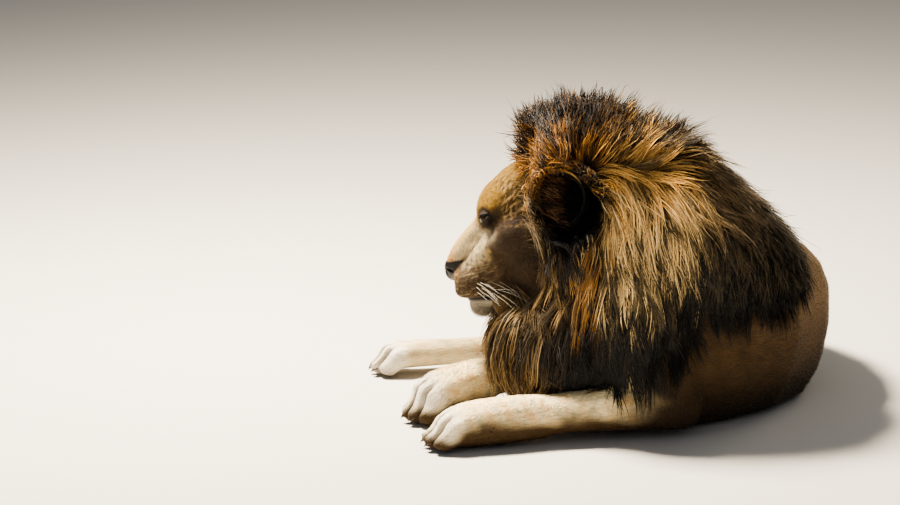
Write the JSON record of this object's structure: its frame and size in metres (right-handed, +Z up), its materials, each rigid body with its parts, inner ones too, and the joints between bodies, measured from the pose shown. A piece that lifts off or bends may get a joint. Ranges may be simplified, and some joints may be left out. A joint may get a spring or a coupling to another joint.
{
  "type": "resting male lion model",
  "caption": "Life-size still model of an adult male lion lying on its chest with hips rolled over and forelegs out in front, maned, resting on floor flats.",
  "frame": {"origin": "on the floor, under the middle of the model's outline", "axes": "+Z up; the muzzle and the forefeet point along -X, the rump is towards +X; -Y is the animal's left side, which faces the viewer, and +Y the side where both hind feet and the tail come out"},
  "size_m": [1.1614, 1.58, 0.7922],
  "materials": {
    "body_coat": "short tan fur",
    "leg_coat": "short pale cream-gold fur",
    "face_coat": "short grey-tan fur",
    "mane_gold": "long golden to rufous hair",
    "mane_dark": "long dark brown to black hair",
    "ear_coat": "dark soft fur",
    "nose_skin": "bare black skin, slightly moist",
    "eye_surface": "wet amber iris with a round dark pupil"
  },
  "bodies": {
    "root": {"ear_left": "ear_coat", "ear_right": "ear_coat", "eye_left": "eye_surface", "eye_right": "eye_surface", "fore_left_foot": "leg_coat", "fore_left_lower": "leg_coat", "fore_left_upper": "body_coat", "fore_right_foot": "leg_coat", "fore_right_lower": "leg_coat", "fore_right_upper": "body_coat", "head": "face_coat", "hind_left_foot": "leg_coat", "hind_left_lower": "leg_coat", "hind_left_upper": "body_coat", "hind_right_foot": "leg_coat", "hind_right_lower": "leg_coat", "hind_right_upper": "body_coat", "jaw": "face_coat", "mane_back": "mane_dark", "mane_bib": "mane_dark", "mane_crest": "mane_gold", "mane_left": "mane_gold", "mane_right": "mane_gold", "neck": "body_coat", "nose": "nose_skin", "tail": "body_coat", "tail_tuft": "mane_dark", "trunk": "body_coat"}
  },
  "joints": []
}
